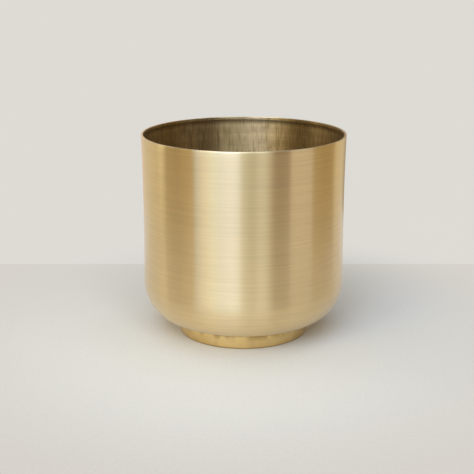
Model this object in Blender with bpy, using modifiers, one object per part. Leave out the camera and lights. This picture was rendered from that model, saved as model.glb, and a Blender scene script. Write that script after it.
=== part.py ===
"""Brass planter pot: a bowl spun from one sheet of brass, with a hemmed rim, on a low brazed foot ring.

Units are metres and +Z is up. The origin is on the pot's axis, at the centre of the foot's underside.
Every part is turned about Z. Each profile lies in the XZ plane at positive X and runs over the body from
its inner side to its outer side, so that the outer side is followed from top to bottom.
"""

import math

import bpy

COLLECTION_NAME = "brass_planter_pot"

# Facets round the axis, a multiple of four so that the widest points lie on the X and Y axes.
FACETS = 72

# Bowl, outside
POT_HEIGHT = 0.203
RIM_RADIUS = 0.1015
WAIST_RADIUS = 0.1006
SHOULDER_RADIUS = 0.1015
SHOULDER_TOP_Z = 0.054
BASE_Z = 0.017
BASE_FLAT_RADIUS = 0.072

# Bowl, sheet and rim
SHEET = 0.0010
HEM_THICKNESS = 2 * SHEET
HEM_DEPTH = 0.0030
HEM_EDGE_RADIUS = 0.0003
RIM_EDGE_RADIUS = 0.0005

# Foot ring
FOOT_OUTER_RADIUS = 0.0660
FOOT_SHEET = 0.0020
FOOT_EDGE_RADIUS = 0.0006

# Clearance kept between pieces that touch on the real pot
JOINT_GAP = 0.0003

# Braze fillets, one on each side of the foot ring's top edge
BRAZE_LEG = 0.0018
BRAZE_TOE = 0.0002

# Curve steps
WALL_STEPS = 6
SHOULDER_STEPS = 10
RIM_STEPS = 4
EDGE_STEPS = 3
BRAZE_STEPS = 4


def arc(centre_x, centre_z, radius_x, radius_z, start_deg, end_deg, steps):
    """Points on an elliptical arc in the XZ plane, both ends included."""
    points = []
    for index in range(steps + 1):
        angle = math.radians(start_deg + (end_deg - start_deg) * index / steps)
        points.append((centre_x + radius_x * math.cos(angle), centre_z + radius_z * math.sin(angle)))
    return points


def wall_radius(z):
    """Outside radius of the wall: a shallow waist between the shoulder and the rim."""
    middle_z = (SHOULDER_TOP_Z + POT_HEIGHT) / 2
    half_length = (POT_HEIGHT - SHOULDER_TOP_Z) / 2
    offset = (z - middle_z) / half_length
    end_radius = RIM_RADIUS if offset > 0 else SHOULDER_RADIUS
    return WAIST_RADIUS + (end_radius - WAIST_RADIUS) * offset * offset


def wall(start_z, end_z, inset):
    """Points on the wall from one height to another, moved in towards the axis by the inset."""
    points = []
    for index in range(WALL_STEPS + 1):
        z = start_z + (end_z - start_z) * index / WALL_STEPS
        points.append((wall_radius(z) - inset, z))
    return points


def bowl_profile():
    """From the middle of the inside floor, up the inside, over the hem and down the outside to the middle."""
    hem_z = POT_HEIGHT - HEM_DEPTH
    hem_inner = RIM_RADIUS - HEM_THICKNESS
    rim_edge = RIM_EDGE_RADIUS
    edge_z = POT_HEIGHT - rim_edge
    shoulder_x = SHOULDER_RADIUS - BASE_FLAT_RADIUS
    shoulder_z = SHOULDER_TOP_Z - BASE_Z

    points = [(0.0, BASE_Z + SHEET)]
    points += arc(BASE_FLAT_RADIUS, SHOULDER_TOP_Z, shoulder_x - SHEET, shoulder_z - SHEET, -90, 0, SHOULDER_STEPS)
    points += wall(SHOULDER_TOP_Z, hem_z, SHEET)[1:]
    points += arc(hem_inner + HEM_EDGE_RADIUS, hem_z + HEM_EDGE_RADIUS, HEM_EDGE_RADIUS, HEM_EDGE_RADIUS,
                  -90, -180, EDGE_STEPS)
    points += arc(hem_inner + rim_edge, edge_z, rim_edge, rim_edge, 180, 90, RIM_STEPS)
    points += arc(RIM_RADIUS - rim_edge, edge_z, rim_edge, rim_edge, 90, 0, RIM_STEPS)
    points += wall(edge_z, SHOULDER_TOP_Z, 0.0)[1:]
    points += arc(BASE_FLAT_RADIUS, SHOULDER_TOP_Z, shoulder_x, shoulder_z, 0, -90, SHOULDER_STEPS)[1:]
    points += [(0.0, BASE_Z)]
    return points


def foot_profile():
    """An upright strip with rounded edges: up the inner face, over the top and down the outer face."""
    top_z = BASE_Z - JOINT_GAP
    inner = FOOT_OUTER_RADIUS - FOOT_SHEET
    edge = FOOT_EDGE_RADIUS
    points = arc(inner + edge, edge, edge, edge, 270, 180, EDGE_STEPS)
    points += arc(inner + edge, top_z - edge, edge, edge, 180, 90, EDGE_STEPS)
    points += arc(FOOT_OUTER_RADIUS - edge, top_z - edge, edge, edge, 90, 0, EDGE_STEPS)
    points += arc(FOOT_OUTER_RADIUS - edge, edge, edge, edge, 0, -90, EDGE_STEPS)
    points.append(points[0])
    return points


def braze_profile(face_radius, side):
    """A concave fillet in the corner below the base. Side is +1 outside the foot ring and -1 inside it."""
    top_z = BASE_Z - JOINT_GAP
    corner = face_radius + side * JOINT_GAP
    reach = BRAZE_LEG - BRAZE_TOE
    hollow = arc(corner + side * BRAZE_LEG, top_z - BRAZE_LEG, side * reach, reach, 90, 180, BRAZE_STEPS)
    points = [(corner, top_z), (corner + side * BRAZE_LEG, top_z)]
    points += hollow
    points.append((corner, top_z - BRAZE_LEG))
    if side < 0:
        points.reverse()
    return points + [points[0]]


def brass(name, colour, roughness):
    material = bpy.data.materials.new(name)
    material.use_nodes = True
    shader = material.node_tree.nodes["Principled BSDF"]
    shader.inputs["Base Color"].default_value = (*colour, 1.0)
    shader.inputs["Metallic"].default_value = 1.0
    shader.inputs["Roughness"].default_value = roughness
    return material


def turned(name, profile, material, collection):
    """A body of revolution made from a profile with a Screw modifier."""
    mesh = bpy.data.meshes.new(name)
    edges = [(index, index + 1) for index in range(len(profile) - 1)]
    closed = profile[0] == profile[-1]
    vertices = [(x, 0.0, z) for x, z in (profile[:-1] if closed else profile)]
    if closed:
        edges[-1] = (len(profile) - 2, 0)
    mesh.from_pydata(vertices, edges, [])
    mesh.materials.append(material)
    body = bpy.data.objects.new(name, mesh)
    collection.objects.link(body)

    screw = body.modifiers.new("turn", "SCREW")
    screw.axis = "Z"
    screw.angle = 2 * math.pi
    screw.steps = FACETS
    screw.render_steps = FACETS
    screw.use_merge_vertices = True
    screw.merge_threshold = 0.00001
    screw.use_smooth_shade = True
    return body


def main():
    for leftover in list(bpy.data.objects):
        bpy.data.objects.remove(leftover, do_unlink=True)

    collection = bpy.data.collections.new(COLLECTION_NAME)
    bpy.context.scene.collection.children.link(collection)

    bowl_brass = brass("bowl_brass", (0.62, 0.46, 0.21), 0.32)
    foot_brass = brass("foot_brass", (0.66, 0.46, 0.17), 0.18)
    braze_metal = brass("braze_metal", (0.58, 0.45, 0.24), 0.45)

    turned("bowl", bowl_profile(), bowl_brass, collection)
    turned("foot_ring", foot_profile(), foot_brass, collection)
    turned("braze_outer", braze_profile(FOOT_OUTER_RADIUS, 1), braze_metal, collection)
    turned("braze_inner", braze_profile(FOOT_OUTER_RADIUS - FOOT_SHEET, -1), braze_metal, collection)


main()
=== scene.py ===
import math

import bmesh
import bpy
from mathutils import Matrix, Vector


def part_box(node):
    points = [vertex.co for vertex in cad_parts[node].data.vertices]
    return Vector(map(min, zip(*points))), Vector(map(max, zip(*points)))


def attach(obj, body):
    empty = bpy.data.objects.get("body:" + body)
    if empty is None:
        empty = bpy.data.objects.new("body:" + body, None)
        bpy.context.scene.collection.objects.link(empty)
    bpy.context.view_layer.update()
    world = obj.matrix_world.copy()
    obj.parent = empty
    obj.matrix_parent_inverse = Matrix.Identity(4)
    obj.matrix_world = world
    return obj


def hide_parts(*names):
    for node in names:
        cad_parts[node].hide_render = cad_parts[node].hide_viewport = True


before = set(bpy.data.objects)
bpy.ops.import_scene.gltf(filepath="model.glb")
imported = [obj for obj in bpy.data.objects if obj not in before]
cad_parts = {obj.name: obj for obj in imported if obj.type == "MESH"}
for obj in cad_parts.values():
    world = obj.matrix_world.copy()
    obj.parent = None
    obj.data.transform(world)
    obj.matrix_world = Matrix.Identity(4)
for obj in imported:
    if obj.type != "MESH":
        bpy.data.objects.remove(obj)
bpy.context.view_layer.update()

UV_NAME = "OFBake"

# ---------------------------------------------------------------- sizes, in metres
BOWL_LOW, BOWL_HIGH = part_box("bowl")
_, FOOT_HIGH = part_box("foot_ring")
RIM_R = BOWL_HIGH.x
RIM_Z = BOWL_HIGH.z
BASE_Z = BOWL_LOW.z
FOOT_R = FOOT_HIGH.x
FOOT_TOP = FOOT_HIGH.z

SHEET = 0.0010
WAIST_IN = 0.0009
SHOULDER_Z = 0.054
BASE_FLAT_R = 0.072
HEM = 2 * SHEET
HEM_DEPTH = 0.0030
HEM_EDGE = 0.0003
RIM_EDGE = 0.0003
RIPPLE = 0.000035
RIPPLE_FADE = 0.02

FOOT_SHEET = 0.0020
FOOT_EDGE = 0.0006

BRAZE_GAP = 0.0003
BRAZE_LEG = 0.0018
BRAZE_TOE = 0.0002

# ---------------------------------------------------------------- how finely each outline is cut
BOWL_SEGMENTS = 288
FOOT_SEGMENTS = 240
FLOOR_STEPS = 18
INNER_SHOULDER_STEPS = 28
WALL_STEPS = 30
HEM_EDGE_STEPS = 4
RIM_EDGE_STEPS = 6
RIM_FLAT_STEPS = 3
OUTER_SHOULDER_STEPS = 30
BASE_STEPS = 16
FOOT_EDGE_STEPS = 5
FOOT_WALL_STEPS = 8
BRAZE_STEPS = 8
ON_AXIS = 1e-7


# ---------------------------------------------------------------- outlines, as (radius, height)
def arc(cx, cz, rx, rz, a0, a1, steps):
    points = []
    for k in range(steps + 1):
        a = math.radians(a0 + (a1 - a0) * k / steps)
        points.append((cx + rx * math.cos(a), cz + rz * math.sin(a)))
    return points


def straight(p, q, steps):
    points = []
    for k in range(steps + 1):
        points.append((p[0] + (q[0] - p[0]) * k / steps, p[1] + (q[1] - p[1]) * k / steps))
    return points


def wall_radius(z):
    """The outside of the wall: the rim's radius at both ends, with a slight waist between them."""
    middle = (SHOULDER_Z + RIM_Z) / 2
    t = (z - middle) / ((RIM_Z - SHOULDER_Z) / 2)
    return RIM_R - WAIST_IN * (1 - t * t)


def wall(start, end, inwards):
    """The wall from one height to another, moved in by a thickness, without its first point."""
    heights = [start + (end - start) * k / WALL_STEPS for k in range(WALL_STEPS + 1)]
    return [(wall_radius(z) - inwards, z) for z in heights][1:]


def bowl_profile():
    """The bowl from the middle of its floor round to the middle of its base, and how many rows are inside."""
    hem_z = RIM_Z - HEM_DEPTH
    hem_in = RIM_R - HEM
    floor_z = BASE_Z + SHEET
    reach = RIM_R - BASE_FLAT_R
    rise = SHOULDER_Z - BASE_Z
    top = RIM_Z - RIM_EDGE
    parts = [
        straight((0.0, floor_z), (BASE_FLAT_R, floor_z), FLOOR_STEPS),
        arc(BASE_FLAT_R, SHOULDER_Z, reach - SHEET, rise - SHEET, -90, 0, INNER_SHOULDER_STEPS)[1:],
        wall(SHOULDER_Z, hem_z, SHEET),
        arc(hem_in + HEM_EDGE, hem_z + HEM_EDGE, HEM_EDGE, HEM_EDGE, -90, -180, HEM_EDGE_STEPS),
    ]
    inner_rows = sum(len(part) for part in parts)
    parts += [
        arc(hem_in + RIM_EDGE, top, RIM_EDGE, RIM_EDGE, 180, 90, RIM_EDGE_STEPS),
        straight((hem_in + RIM_EDGE, RIM_Z), (RIM_R - RIM_EDGE, RIM_Z), RIM_FLAT_STEPS)[1:-1],
        arc(RIM_R - RIM_EDGE, top, RIM_EDGE, RIM_EDGE, 90, 0, RIM_EDGE_STEPS),
        wall(top, SHOULDER_Z, 0.0),
        arc(BASE_FLAT_R, SHOULDER_Z, reach, rise, 0, -90, OUTER_SHOULDER_STEPS)[1:],
        straight((BASE_FLAT_R, BASE_Z), (0.0, BASE_Z), BASE_STEPS)[1:],
    ]
    return [point for part in parts for point in part], inner_rows


def foot_profile():
    inner = FOOT_R - FOOT_SHEET
    low = FOOT_EDGE
    high = FOOT_TOP - FOOT_EDGE

    def edge(cx, cz, a0, a1):
        return arc(cx, cz, FOOT_EDGE, FOOT_EDGE, a0, a1, FOOT_EDGE_STEPS)

    points = edge(inner + FOOT_EDGE, low, 270, 180)
    points += straight((inner, low), (inner, high), FOOT_WALL_STEPS)[1:-1]
    points += edge(inner + FOOT_EDGE, high, 180, 90)
    points += edge(FOOT_R - FOOT_EDGE, high, 90, 0)
    points += straight((FOOT_R, high), (FOOT_R, low), FOOT_WALL_STEPS)[1:-1]
    points += edge(FOOT_R - FOOT_EDGE, low, 0, -90)
    return points + [points[0]]


def braze_profile(face, side):
    """A hollow fillet under the base, against one face of the foot ring. side is 1 outside and -1 inside."""
    corner = face + side * BRAZE_GAP
    toe = corner + side * BRAZE_LEG
    low = FOOT_TOP - BRAZE_LEG
    reach = BRAZE_LEG - BRAZE_TOE
    points = [(corner, FOOT_TOP), (toe, FOOT_TOP)]
    points += arc(toe, low, side * reach, reach, 90, 180, BRAZE_STEPS)
    points.append((corner, low))
    if side < 0:
        points.reverse()
    return points + [points[0]]


# ---------------------------------------------------------------- turning
# waves round the bowl: how many, their phase, how they drift with height, and their size
WAVES = ((3, 0.7, 0, 1.0), (7, 2.1, 6, 0.6), (13, 4.0, -9, 0.4))


def bowl_ripple(angle, r, z):
    """How far a point is moved in. A spun wall is never quite round: this one is in by up to 0.14 mm."""
    if r < BASE_FLAT_R:
        return 0.0
    wave = sum(size * math.sin(count * angle + phase + drift * z) for count, phase, drift, size in WAVES)
    fade = min(1.0, (r - BASE_FLAT_R) / RIPPLE_FADE) * min(1.0, (RIM_Z - z) / RIPPLE_FADE)
    return RIPPLE * (2.0 + wave) * fade


def turned(name, profile, segments, ripple=None):
    """A closed mesh of revolution and its profile's length. U runs round the axis and V along the profile."""
    lengths = [0.0]
    for a, b in zip(profile, profile[1:]):
        lengths.append(lengths[-1] + math.dist(a, b))
    total = lengths[-1]
    closed = profile[0] == profile[-1]
    rows = profile[:-1] if closed else profile
    bm = bmesh.new()
    uv = bm.loops.layers.uv.new(UV_NAME)
    rings = []
    for r, z in rows:
        if r < ON_AXIS:
            rings.append([bm.verts.new((0.0, 0.0, z))])
            continue
        ring = []
        for i in range(segments):
            # the seam is at the back
            a = math.pi / 2 + 2 * math.pi * i / segments
            rr = r - (ripple(a, r, z) if ripple else 0.0)
            ring.append(bm.verts.new((rr * math.cos(a), rr * math.sin(a), z)))
        rings.append(ring)
    count = len(rings)
    for j in range(count if closed else count - 1):
        here, ahead = rings[j], rings[(j + 1) % count]
        v0, v1 = lengths[j] / total, lengths[j + 1] / total
        for i in range(segments):
            k = (i + 1) % segments
            u0, u1 = i / segments, (i + 1) / segments
            if len(here) == 1:
                face = bm.faces.new((ahead[i], ahead[k], here[0]))
                coords = ((u0, v1), (u1, v1), ((u0 + u1) / 2, v0))
            elif len(ahead) == 1:
                face = bm.faces.new((ahead[0], here[k], here[i]))
                coords = (((u0 + u1) / 2, v1), (u1, v0), (u0, v0))
            else:
                face = bm.faces.new((ahead[i], ahead[k], here[k], here[i]))
                coords = ((u0, v1), (u1, v1), (u1, v0), (u0, v0))
            face.smooth = True
            for loop, co in zip(face.loops, coords):
                loop[uv].uv = co
    mesh = bpy.data.meshes.new(name)
    bm.to_mesh(mesh)
    bm.free()
    piece = bpy.data.objects.new(name, mesh)
    bpy.context.scene.collection.objects.link(piece)
    return piece, total


# ---------------------------------------------------------------- materials
class Graph:
    """A material's node tree, with a short call for each kind of node."""

    def __init__(self, name):
        self.material = bpy.data.materials.new(name)
        self.material.use_nodes = True
        self.tree = self.material.node_tree
        self.tree.nodes.clear()

    def node(self, kind, **settings):
        node = self.tree.nodes.new(kind)
        for key, value in settings.items():
            setattr(node, key, value)
        return node

    def link(self, source, target):
        self.tree.links.new(source, target)

    def put(self, socket, value):
        if isinstance(value, bpy.types.NodeSocket):
            self.link(value, socket)
        else:
            socket.default_value = value

    def math(self, op, a, b):
        node = self.node("ShaderNodeMath", operation=op)
        self.put(node.inputs[0], a)
        self.put(node.inputs[1], b)
        return node.outputs[0]

    def split(self, vector):
        node = self.node("ShaderNodeSeparateXYZ")
        self.link(vector, node.inputs[0])
        return node.outputs

    def combine(self, x, y, z):
        node = self.node("ShaderNodeCombineXYZ")
        for socket, value in zip(node.inputs, (x, y, z)):
            self.put(socket, value)
        return node.outputs[0]

    def remap(self, value, low, high, to_low=0.0, to_high=1.0):
        node = self.node("ShaderNodeMapRange")
        self.put(node.inputs["Value"], value)
        for key, number in (("From Min", low), ("From Max", high), ("To Min", to_low), ("To Max", to_high)):
            node.inputs[key].default_value = number
        return node.outputs[0]

    def noise(self, vector, scale, detail, rough):
        node = self.node("ShaderNodeTexNoise")
        self.put(node.inputs["Vector"], vector)
        node.inputs["Scale"].default_value = scale
        node.inputs["Detail"].default_value = detail
        node.inputs["Roughness"].default_value = rough
        return node.outputs[0]

    def mix(self, factor, a, b):
        node = self.node("ShaderNodeMix", data_type="RGBA")
        self.put(node.inputs["Factor"], factor)
        for socket, value in zip((node.inputs[6], node.inputs[7]), (a, b)):
            self.put(socket, (*value, 1.0) if isinstance(value, tuple) else value)
        return node.outputs[2]

    def finish(self, shader):
        out = self.node("ShaderNodeOutputMaterial")
        self.link(shader.outputs[0], out.inputs[0])
        return self.material


# brushing: how wide each kind of mark is along the profile, and how far it runs round the axis, in metres
HAIR_WIDTH, HAIR_RUN = 0.0011, 0.06
LINE_WIDTH, LINE_RUN = 0.0014, 0.14
BAND_WIDTH, BAND_RUN = 0.0065, 0.60
# how many marks to the metre, round the axis and along the profile
UPRIGHT_SCRATCH = (620.0, 38.0)
UPRIGHT_SMEAR = (170.0, 60.0)
FOOT_MARK = (85.0, 60.0)
DARK_LINE = 0.80
PALE_LINE = 1.12
# the tone of a painted highlight along the top of the rim, and the heights where it starts and where it is
# full
RIM_HIGHLIGHT_TONE = (0.90, 0.80, 0.60)
RIM_HIGHLIGHT_FROM, RIM_HIGHLIGHT_TO = RIM_Z - 0.0018, RIM_Z - 0.0006
BUMP_DEPTH = 0.00010
COAT_ROUGHNESS = 0.24
# a quarter turn lays the shine across the brushing, as upright bands of light
SHINE_TURN = 0.25


def brushed(name, length, colour, deep, rough, aniso, lines=1.0, patina=0.35, cross=0.0, bump=0.35,
            rim_highlight=0.0, pitch=1.0, blotch_and_shade=0.0, coat=0.0):
    """Brass brushed or spun round the axis. length is its profile's length, which turns V into metres."""
    g = Graph(name)
    place = g.node("ShaderNodeTexCoord").outputs["Object"]
    x, y, z = g.split(place)
    uv = g.node("ShaderNodeUVMap", uv_map=UV_NAME)
    along = g.math("MULTIPLY", g.split(uv.outputs[0])[1], length)

    def marks(per_metre, detail, roughness):
        """Noise with this many marks to the metre, round the axis and along the profile."""
        turning, climbing = per_metre
        across = [g.math("MULTIPLY", axis, turning) for axis in (x, y)]
        vector = g.combine(*across, g.math("MULTIPLY", along, climbing))
        return g.noise(vector, 1.0, detail, roughness)

    hair = marks((1 / HAIR_RUN, 1 / (HAIR_WIDTH * pitch)), 1.0, 0.5)
    line = marks((1 / LINE_RUN, 1 / (LINE_WIDTH * pitch)), 1.0, 0.5)
    band = marks((1 / BAND_RUN, 1 / (BAND_WIDTH * pitch)), 2.0, 0.55)
    cloud = g.noise(place, 17.0, 4.0, 0.55)
    stain = g.noise(place, 55.0, 5.0, 0.65)
    speck = g.noise(place, 420.0, 2.0, 0.6)

    def tint(base, noise, low, high, strength, tone):
        """Tint where the noise is past low, in full from high on."""
        return g.mix(g.remap(noise, low, high, 0.0, strength), base, tone)

    dark_line = tuple(c * DARK_LINE for c in colour)
    pale_line = tuple(min(1.0, c * PALE_LINE) for c in colour)
    base = tint(colour, cloud, 0.35, 0.70, patina, deep)
    base = tint(base, stain, 0.56, 0.74, 0.6 * patina, deep)
    base = tint(base, line, 0.40, 0.70, 0.30 * lines, dark_line)
    base = tint(base, hair, 0.40, 0.65, 0.55 * lines, dark_line)
    base = tint(base, band, 0.50, 0.30, 0.10 * lines, pale_line)

    # rough is the smoothest that this brushing leaves: each of these marks is a duller one
    dull_marks = ((line, 0.30, 0.70, 0.012 * lines), (band, 0.30, 0.70, 0.008),
                  (cloud, 0.30, 0.70, 0.012), (speck, 0.60, 0.75, 0.010))
    roughness = rough
    for noise, low, high, amount in dull_marks:
        roughness = g.math("ADD", roughness, g.remap(noise, low, high, 0.0, amount))
    height = 0.0
    for noise, share in ((hair, 0.5), (line, 1.0), (band, 0.5)):
        height = g.math("ADD", height, g.math("MULTIPLY", noise, share))

    if cross:
        # scratches and smears that run up and down the wall, across the spinning rings
        scratch = marks(UPRIGHT_SCRATCH, 2.0, 0.5)
        smear = marks(UPRIGHT_SMEAR, 3.0, 0.6)
        height = g.math("ADD", height, g.math("MULTIPLY", scratch, cross))
        base = tint(base, scratch, 0.48, 0.70, 0.45 * cross, deep)
        base = tint(base, smear, 0.50, 0.72, 0.40 * cross, deep)
        roughness = g.math("ADD", roughness, g.remap(smear, 0.35, 0.65, -0.05 * cross, 0.05 * cross))
    if blotch_and_shade:
        # dark marks on the foot: partly tarnish, partly painted reflection of the bowl's shaded underside.
        # Below them, painted shade along the edge that stands on the table and along the top under the bowl
        mark = marks(FOOT_MARK, 1.0, 0.5)
        # painted shade: the dark marks are few low down and thick towards the top, under the bowl
        shade_towards_top = g.remap(z, 0.45 * FOOT_TOP, 0.75 * FOOT_TOP, 0.15, 1.0)
        stain_and_shade = g.math("MULTIPLY", g.remap(mark, 0.44, 0.58, 0.0, 0.85 * blotch_and_shade), shade_towards_top)
        base = g.mix(stain_and_shade, base, deep)
        # painted shade: darker along the bottom edge, where it stands on the table
        base = tint(base, z, 0.0016, 0.0004, 0.9, deep)
        # painted shade: darker along the top, under the bowl
        base = tint(base, z, 0.70 * FOOT_TOP, 0.82 * FOOT_TOP, 0.9, deep)
        roughness = g.math("ADD", roughness, g.remap(mark, 0.30, 0.70, -0.07 * blotch_and_shade, 0.07 * blotch_and_shade))
        height = g.math("ADD", height, g.math("MULTIPLY", mark, 2.0 * blotch_and_shade))
    if rim_highlight:
        # painted highlight: the top of the folded rim is made paler
        base = tint(base, z, RIM_HIGHLIGHT_FROM, RIM_HIGHLIGHT_TO, rim_highlight, RIM_HIGHLIGHT_TONE)

    bump_node = g.node("ShaderNodeBump")
    bump_node.inputs["Strength"].default_value = bump
    bump_node.inputs["Distance"].default_value = BUMP_DEPTH
    g.link(height, bump_node.inputs["Height"])
    shader = g.node("ShaderNodeBsdfPrincipled")
    g.put(shader.inputs["Base Color"], base)
    g.put(shader.inputs["Roughness"], roughness)
    shader.inputs["Metallic"].default_value = 1.0
    shader.inputs["Anisotropic"].default_value = aniso
    shader.inputs["Anisotropic Rotation"].default_value = SHINE_TURN
    shader.inputs["Coat Weight"].default_value = coat
    shader.inputs["Coat Roughness"].default_value = COAT_ROUGHNESS
    g.link(bump_node.outputs[0], shader.inputs["Normal"])
    return g.finish(shader)


# ---------------------------------------------------------------- pieces
FOOT_INNER_R = FOOT_R - FOOT_SHEET
bowl_points, inner_rows = bowl_profile()
bowl, bowl_length = turned("bowl_spun", bowl_points, BOWL_SEGMENTS, bowl_ripple)
foot, foot_length = turned("foot_band", foot_profile(), FOOT_SEGMENTS)
braze_out, braze_length = turned("braze_bead_outside", braze_profile(FOOT_R, 1), FOOT_SEGMENTS)
braze_in, _ = turned("braze_bead_inside", braze_profile(FOOT_INNER_R, -1), FOOT_SEGMENTS)

bowl.data.materials.append(brushed(
    "brass_outside", bowl_length, (0.84, 0.64, 0.34), (0.68, 0.46, 0.20), rough=0.278, aniso=1.0,
    lines=0.6, patina=0.14, bump=0.013, rim_highlight=0.25, coat=0.8))
# the inside is darker than the outside: partly tarnish, partly painted shade inside the bowl
bowl.data.materials.append(brushed(
    "brass_inside", bowl_length, (0.50, 0.36, 0.18), (0.24, 0.165, 0.07), rough=0.44, aniso=0.9,
    lines=4.5, patina=0.6, cross=1.6, bump=0.30, pitch=1.2))
# the turned faces are in rows, and the first rows are the inside's
for face in bowl.data.polygons:
    face.material_index = 1 if face.index // BOWL_SEGMENTS < inner_rows else 0

foot.data.materials.append(brushed(
    "brass_foot", foot_length, (0.93, 0.68, 0.30), (0.34, 0.215, 0.06), rough=0.15, aniso=0.8,
    lines=0.7, patina=0.25, bump=0.10, pitch=0.7, blotch_and_shade=0.9, coat=0.5))
braze_metal = brushed(
    "braze_alloy", braze_length, (0.62, 0.50, 0.30), (0.45, 0.36, 0.22), rough=0.5, aniso=0.0,
    lines=0.2, patina=0.6, bump=0.4)
braze_out.data.materials.append(braze_metal)
braze_in.data.materials.append(braze_metal)

PIECES = (
    (bowl, "bowl", "bowl_brass"),
    (foot, "foot_ring", "foot_brass"),
    (braze_out, "braze_outer", "braze_metal"),
    (braze_in, "braze_inner", "braze_metal"),
)
for piece, node, slot in PIECES:
    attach(piece, "root")
    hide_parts(node)

# ---------------------------------------------------------------- stage
scene = bpy.context.scene
scene.view_settings.view_transform = "Standard"

TABLE = 0.45
FAR = 60.0
BACK_EDGE = 0.219
FLOOR_TONE = (0.70, 0.67, 0.62)
BACK_TONE = (0.74, 0.72, 0.675)
GROUND_ROUGHNESS = 0.75
GROUND_SPECULAR = 0.25
# how far from the pot's axis the ground starts to glow, and where the glow is all there is
GLOW_START, GLOW_FULL = 0.14, 0.36


def ground_material(name, colour, glow, speckle):
    """A matt ground. Away from the object, where the lights fall off, it glows.

    The glow has the tone that the ground has close by.
    """
    g = Graph(name)
    place = g.node("ShaderNodeTexCoord").outputs["Object"]
    mottle = g.noise(place, 9.0, 5.0, 0.6)
    grain = g.noise(place, 320.0, 3.0, 0.7)

    def tone(c):
        dark = tuple(v * (1 - speckle) for v in c)
        speckled = g.mix(g.remap(grain, 0.35, 0.65), c, dark)
        return g.mix(g.remap(mottle, 0.3, 0.7, 0.0, 0.35), speckled, dark)

    near = g.node("ShaderNodeBsdfPrincipled")
    g.put(near.inputs["Base Color"], tone(colour))
    near.inputs["Roughness"].default_value = GROUND_ROUGHNESS
    near.inputs["Specular IOR Level"].default_value = GROUND_SPECULAR
    far = g.node("ShaderNodeEmission")
    g.put(far.inputs["Color"], tone(glow))
    length = g.node("ShaderNodeVectorMath", operation="LENGTH")
    g.link(place, length.inputs[0])
    fade = g.node("ShaderNodeMapRange", interpolation_type="SMOOTHSTEP")
    g.link(length.outputs["Value"], fade.inputs["Value"])
    fade.inputs["From Min"].default_value = GLOW_START
    fade.inputs["From Max"].default_value = GLOW_FULL
    both = g.node("ShaderNodeMixShader")
    for socket, source in zip(both.inputs, (fade, near, far)):
        g.link(source.outputs[0], socket)
    return g.finish(both)


def ground(name, rectangles, material, reflected):
    """Flat rectangles at height 0, each given as its lowest x and y, then its highest."""
    mesh = bpy.data.meshes.new(name)
    points = []
    for x0, y0, x1, y1 in rectangles:
        points += [(x0, y0, 0), (x1, y0, 0), (x1, y1, 0), (x0, y1, 0)]
    mesh.from_pydata(points, [], [tuple(range(k, k + 4)) for k in range(0, len(points), 4)])
    mesh.materials.append(material)
    obj = bpy.data.objects.new(name, mesh)
    obj.visible_glossy = reflected
    obj.visible_diffuse = reflected
    obj.visible_shadow = reflected
    scene.collection.objects.link(obj)


floor_material = ground_material("stage_floor", (0.68, 0.65, 0.58), FLOOR_TONE, 0.05)
back_material = ground_material("stage_backdrop", (0.76, 0.73, 0.68), BACK_TONE, 0.03)
# the pot stands on a table top; what lies beyond it isn't mirrored in the brass
ground("stage_floor", [(-TABLE, -TABLE, TABLE, BACK_EDGE)], floor_material, True)
ground("stage_backdrop", [(-TABLE, BACK_EDGE, TABLE, TABLE)], back_material, True)
floor_beyond = [
    (-FAR, -FAR, -TABLE, BACK_EDGE),
    (-TABLE, -FAR, TABLE, -TABLE),
    (TABLE, -FAR, FAR, BACK_EDGE),
]
backdrop_beyond = [
    (-FAR, BACK_EDGE, -TABLE, FAR),
    (-TABLE, TABLE, TABLE, FAR),
    (TABLE, BACK_EDGE, FAR, FAR),
]
ground("stage_floor_far", floor_beyond, floor_material, False)
ground("stage_backdrop_far", backdrop_beyond, back_material, False)

# the world lights the pot dimly and warmly; only the camera sees it in the backdrop's tone
WORLD_COLOUR = (1.0, 0.75, 0.55)
WORLD_STRENGTH = 0.18
world = bpy.data.worlds.new("studio")
scene.world = world
world.use_nodes = True
tree = world.node_tree
dim = tree.nodes["Background"]
dim.inputs["Color"].default_value = (*WORLD_COLOUR, 1.0)
dim.inputs["Strength"].default_value = WORLD_STRENGTH
pale = tree.nodes.new("ShaderNodeBackground")
pale.inputs["Color"].default_value = (*BACK_TONE, 1.0)
path = tree.nodes.new("ShaderNodeLightPath")
choose = tree.nodes.new("ShaderNodeMixShader")
for socket, source in zip(choose.inputs, (path.outputs["Is Camera Ray"], dim.outputs[0], pale.outputs[0])):
    tree.links.new(source, socket)
tree.links.new(choose.outputs[0], tree.nodes["World Output"].inputs[0])

# ---------------------------------------------------------------- lights
PANEL_DISTANCE = 1.7
CEILING_HEIGHT = 2.3
CEILING_SIDE = 2.4
CEILING_RADIANCE = 1.27
CEILING_COLOUR = (0.5, 0.7, 1.0)


def soft_light(name, width, height, radiance, colour, place):
    """A rectangle of even light that the camera doesn't see. It points down until it is turned."""
    data = bpy.data.lights.new(name, "AREA")
    data.shape = "RECTANGLE"
    data.size = width
    data.size_y = height
    data.color = colour
    data.energy = radiance * math.pi * width * height
    light = bpy.data.objects.new(name, data)
    light.location = place
    light.visible_camera = False
    scene.collection.objects.link(light)
    return light


def panel(name, start, end, low, high, radiance, colour):
    """A light standing on edge and facing the pot. Azimuth 0 is behind the camera and 90 is to the right."""
    azimuth = math.radians((start + end) / 2)
    width = 2 * PANEL_DISTANCE * math.tan(math.radians(end - start) / 2)
    outwards = Vector((math.sin(azimuth), -math.cos(azimuth), 0.0))
    place = outwards * PANEL_DISTANCE + Vector((0.0, 0.0, (low + high) / 2))
    light = soft_light(name, width, high - low, radiance, colour, place)
    light.rotation_euler = (-outwards).to_track_quat("-Z", "Y").to_euler()


# each light's heights reach from LOW, MID or below the table top, up to MID or HIGH
BELOW, LOW, MID, HIGH = -0.9, 0.05, 0.75, 2.2
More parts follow.
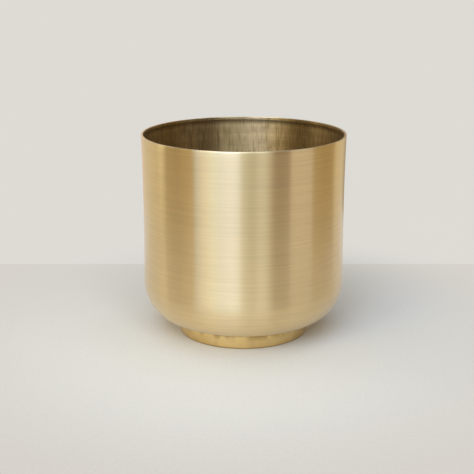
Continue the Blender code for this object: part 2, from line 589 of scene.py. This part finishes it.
# name, first and last azimuth in degrees, lowest and highest point, radiance, colour
# they stand for a daylit room: the strengths and tints began as a least-squares fit, then were changed one by
# one
LIGHTS = (
    ("wall_left", -180, -148, BELOW, MID, 0.6, (1.0, 0.85, 0.7)),
    ("room_left", -148, -103, BELOW, HIGH, 0.54, (1.0, 0.95, 0.7)),
    ("door_left", -103, -94, LOW, HIGH, 1.6, (1.0, 0.98, 0.75)),
    ("corner_left", -94, -70, BELOW, MID, 0.24, (1.0, 0.8, 0.3)),
    ("curtain_left", -70, -54, LOW, HIGH, 0.73, (1.0, 0.8, 0.3)),
    ("window_a", -54, -42, MID, HIGH, 4.6, (1.0, 0.75, 0.25)),
    ("window_b", -42, -34, MID, HIGH, 6.0, (0.95, 1.0, 0.8)),
    ("window_c", -34, -22, MID, HIGH, 6.6, (0.75, 0.82, 1.0)),
    ("window_d", -22, -13, MID, HIGH, 9.1, (0.72, 0.77, 1.0)),
    ("window_e", -13, -4, MID, HIGH, 8.5, (0.7, 0.77, 1.0)),
    ("window_f", -4, 3, MID, HIGH, 5.4, (0.8, 0.95, 1.0)),
    ("front_a", 3, 11, MID, HIGH, 3.2, (0.85, 1.0, 1.0)),
    ("front_b", 11, 15, MID, HIGH, 3.2, (0.9, 1.0, 0.95)),
    ("front_c", 15, 28, MID, HIGH, 5.9, (0.73, 0.86, 1.0)),
    ("front_d", 28, 32, MID, HIGH, 2.8, (1.0, 0.85, 0.4)),
    ("corner_right", 32, 51, LOW, HIGH, 0.12, (1.0, 0.6, 0.2)),
    ("room_right", 51, 80, BELOW, HIGH, 0.51, (1.0, 1.0, 0.95)),
    ("door_right", 80, 92, BELOW, MID, 0.3, (1.0, 0.8, 0.3)),
    ("dim_right", 92, 118, BELOW, MID, 0.25, (1.0, 0.75, 0.2)),
    ("room_right_far", 118, 148, BELOW, HIGH, 0.5, (1.0, 0.9, 0.6)),
    ("wall_right", 148, 180, BELOW, MID, 0.25, (1.0, 0.9, 0.6)),
    ("sill", -54, -4, LOW, MID, 2.6, (0.3, 0.55, 1.0)),
    ("sill_right", -4, 32, LOW, MID, 0.4, (0.4, 0.6, 1.0)),
)
for row in LIGHTS:
    panel(*row)
soft_light("ceiling", CEILING_SIDE, CEILING_SIDE, CEILING_RADIANCE, CEILING_COLOUR, (0, 0, CEILING_HEIGHT))

# ---------------------------------------------------------------- camera
LENS_MM = 80
SENSOR_MM = 36
CAMERA_PLACE = (-0.00664, -1.0321, 0.3834)
LOOKS_DOWN = 15.57
camera_data = bpy.data.cameras.new("camera")
camera_data.lens = LENS_MM
camera_data.sensor_width = SENSOR_MM
camera = bpy.data.objects.new("camera", camera_data)
camera.location = CAMERA_PLACE
camera.rotation_euler = (math.radians(90 - LOOKS_DOWN), 0, 0)
scene.collection.objects.link(camera)
scene.camera = camera
